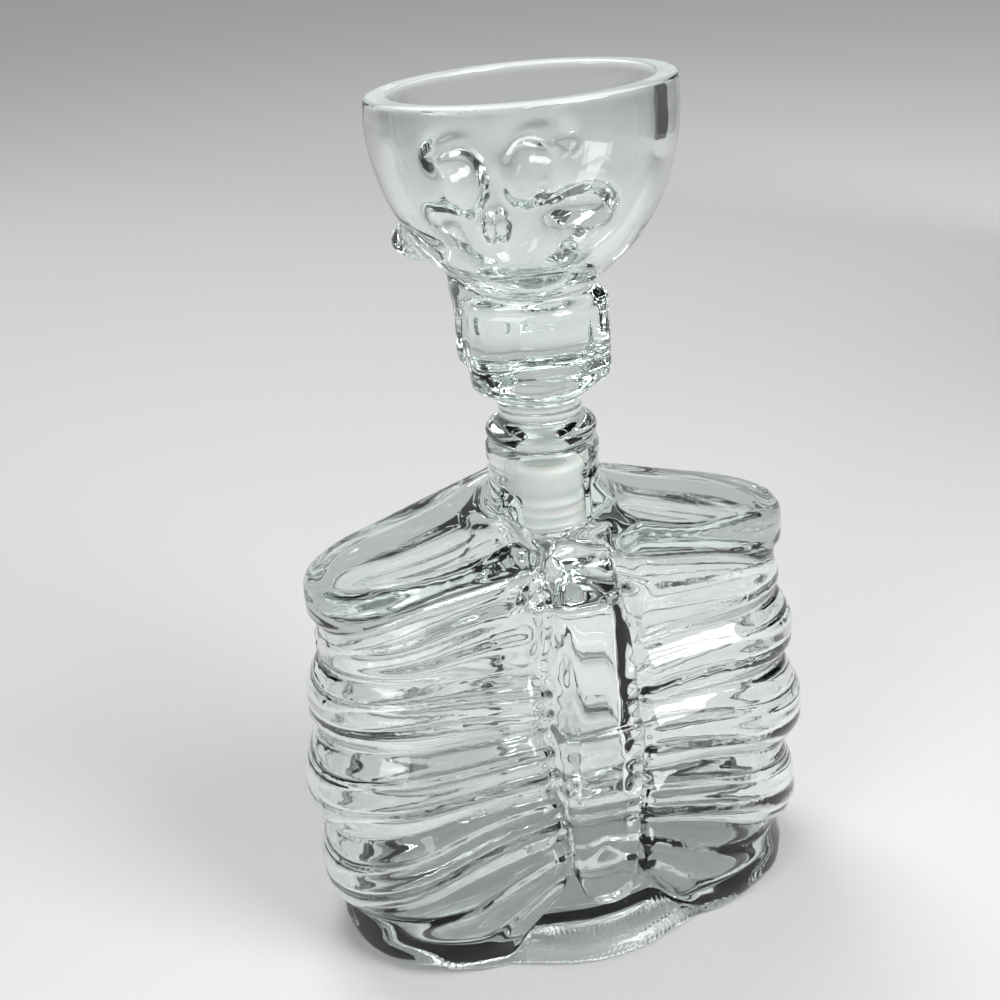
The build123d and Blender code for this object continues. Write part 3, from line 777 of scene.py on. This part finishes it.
# %% [markdown]
# Clear pressed glass is nearly all refraction. Its green comes from the depth of glass that light
# goes through, so it is put in the volume and not on the surface. A faint waviness in the normal
# stands for the way pressed glass never lies quite flat, and the bearing ring under the foot is
# stippled. The goblet's rim is finished by grinding, so a mask by height mixes in a rougher finish
# there, and its paler colour is a painted highlight for the light from above on the rim's flat top.
# The sleeve is milky plastic, which light enters and leaves a little way off, and a faint painted
# glow brightens it where the glass around it lets little light through.

# %% Clear glass and milky plastic
OBJECT_PLACE = 3
GLASS_TINT = (0.97, 0.99, 0.98, 1)
GLASS_DEPTH_COLOUR, GLASS_DEPTH_DENSITY = (0.7, 0.93, 0.85, 1), 7.0
# The rim's pale colour is a painted highlight of the light from above on its flat top, which is also
# rougher from grinding.
RIM_GROUND_AND_HIGHLIGHT_COLOUR, RIM_GROUND_AND_HIGHLIGHT_SHARE = (0.84, 0.91, 0.87, 1), 0.65
# The plastic's glow is painted light that brightens the sleeve, which the glass around it leaves dim.
PLASTIC_COLOUR, PLASTIC_PAINTED_GLOW = (0.95, 0.97, 0.96, 1), (0.9, 0.95, 0.95, 1)
REFRACTION = 1.5
RIM_HEIGHT = (GOBLET_TOP - 0.6) * MM
RING_HEIGHT = 0.3 * MM


def clear_glass():
    """Wavy clear glass, rougher at the goblet's rim with a painted highlight there, and stippled under the
    foot.
    """
    shade = Shader("clear pressed glass")
    place = shade.node("ShaderNodeTexCoord", output=OBJECT_PLACE)
    height = shade.node("ShaderNodeSeparateXYZ", output=2, Vector=place)
    wave = shade.node("ShaderNodeTexNoise", Vector=place, Scale=90.0, Detail=2.0)
    grain = shade.node("ShaderNodeTexNoise", Vector=place, Scale=1400.0, Detail=1.0)
    smear = shade.node("ShaderNodeTexNoise", Vector=place, Scale=25.0, Detail=4.0)
    uneven = wave + grain * (height < RING_HEIGHT) * 2
    surface = shade.node(
        "ShaderNodeBsdfPrincipled",
        Base_Color=GLASS_TINT,
        Roughness=smear * 0.03,
        IOR=REFRACTION,
        Transmission_Weight=1.0,
        Normal=shade.node("ShaderNodeBump", Strength=0.12, Distance=0.0006, Height=uneven),
    )
    # The rim's finish: rougher from grinding, and paler as a painted highlight of the light from above.
    ground_and_highlight = shade.node(
        "ShaderNodeBsdfPrincipled",
        Base_Color=RIM_GROUND_AND_HIGHLIGHT_COLOUR,
        Roughness=smear * 0.2 + 0.35,
        IOR=REFRACTION,
        Transmission_Weight=0.45,
    )
    # A mask by height puts the painted highlight and the rougher finish on the rim's top.
    rim = (height > RIM_HEIGHT) * RIM_GROUND_AND_HIGHLIGHT_SHARE
    both = shade.node("ShaderNodeMixShader", places=(rim, surface, ground_and_highlight))
    depth = shade.node("ShaderNodeVolumeAbsorption", Color=GLASS_DEPTH_COLOUR, Density=GLASS_DEPTH_DENSITY)
    return shade.finish(Surface=both, Volume=depth)


def milky_plastic():
    """Soft translucent plastic with a cloudy gloss and a faint painted glow."""
    shade = Shader("milky plastic")
    place = shade.node("ShaderNodeTexCoord", output=OBJECT_PLACE)
    cloud = shade.node("ShaderNodeTexNoise", Vector=place, Scale=160.0, Detail=3.0)
    surface = shade.node(
        "ShaderNodeBsdfPrincipled",
        Base_Color=PLASTIC_COLOUR,
        Roughness=cloud * 0.2 + 0.3,
        IOR=REFRACTION,
        Subsurface_Weight=0.4,
        Subsurface_Scale=0.002,
        # A faint painted glow stands in for the light that the glass around the sleeve holds back.
        Emission_Color=PLASTIC_PAINTED_GLOW,
        Emission_Strength=0.15,
    )
    return shade.finish(Surface=surface)


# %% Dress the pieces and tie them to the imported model
RIDES = ((bottle, "bottle", "bottle"), (skull, "goblet", "skull_goblet"), (sleeve, "seal", "stopper_seal"))
for piece, body, node in RIDES:
    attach(piece, body)
    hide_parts(node)
    print(piece.name, "rides on", body, "in place of", node)
glass_finish = clear_glass()
for piece in (bottle, skull):
    piece.data.materials.append(glass_finish)
sleeve.data.materials.append(milky_plastic())

# %% [markdown]
# ## Studio
#
# Clear glass shows only what surrounds it. On a pale floor its edges need something darker to bend
# into view, so grey cards stand at both sides, which only the glass sees and the camera doesn't.
# The lamps are broad and soft.

# %% Floor, cards, lamps and world
MIDDLE = (0, 0, 0.11)
PALE_GREY, CARD_GREY = (0.62, 0.62, 0.62, 1), (0.12, 0.12, 0.12, 1)
CARD_SIZE = (0.5, 0.7)
CARDS = (("left_card", (-0.45, 0.05, 0.36)), ("right_card", (0.45, 0.1, 0.36)))
# A lamp has its name, its place, its width and its power.
LAMPS = (
    ("key", (0.5, -0.6, 0.9), 0.5, 9),
    ("fill", (-0.8, -0.5, 0.7), 0.6, 5),
    ("back", (-0.1, 0.5, 1.2), 0.5, 8),
)
WORLD_STRENGTH = 0.8


def aim(piece, place, toward, axis):
    """Puts a piece in its place with one of its axes towards a point."""
    piece.location = place
    piece.rotation_euler = (Vector(toward) - Vector(place)).to_track_quat(axis, "Y").to_euler()


def sheet(name, size, place, toward, colour):
    """A flat matt rectangle facing a point."""
    w, h = size[0] / 2, size[1] / 2
    piece = new_piece(name, [(-w, -h, 0), (w, -h, 0), (w, h, 0), (-w, h, 0)], [(0, 1, 2, 3)])
    aim(piece, place, toward, "Z")
    shade = Shader(name)
    piece.data.materials.append(shade.finish(Surface=shade.node("ShaderNodeBsdfDiffuse", Color=colour)))
    return piece


sheet("floor", (6, 6), (0, 0, 0), (0, 0, 1), PALE_GREY)
for name, place in CARDS:
    sheet(name, CARD_SIZE, place, MIDDLE, CARD_GREY).visible_camera = False
for name, place, width, power in LAMPS:
    lamp = bpy.data.objects.new(name, bpy.data.lights.new(name, "AREA"))
    bpy.context.scene.collection.objects.link(lamp)
    lamp.data.size = width
    lamp.data.energy = power
    aim(lamp, place, MIDDLE, "-Z")
world = bpy.data.worlds.new("studio")
bpy.context.scene.world = world
world.use_nodes = True
world.node_tree.nodes["Background"].inputs["Color"].default_value = PALE_GREY
world.node_tree.nodes["Background"].inputs["Strength"].default_value = WORLD_STRENGTH
bpy.context.scene.view_settings.view_transform = "Standard"
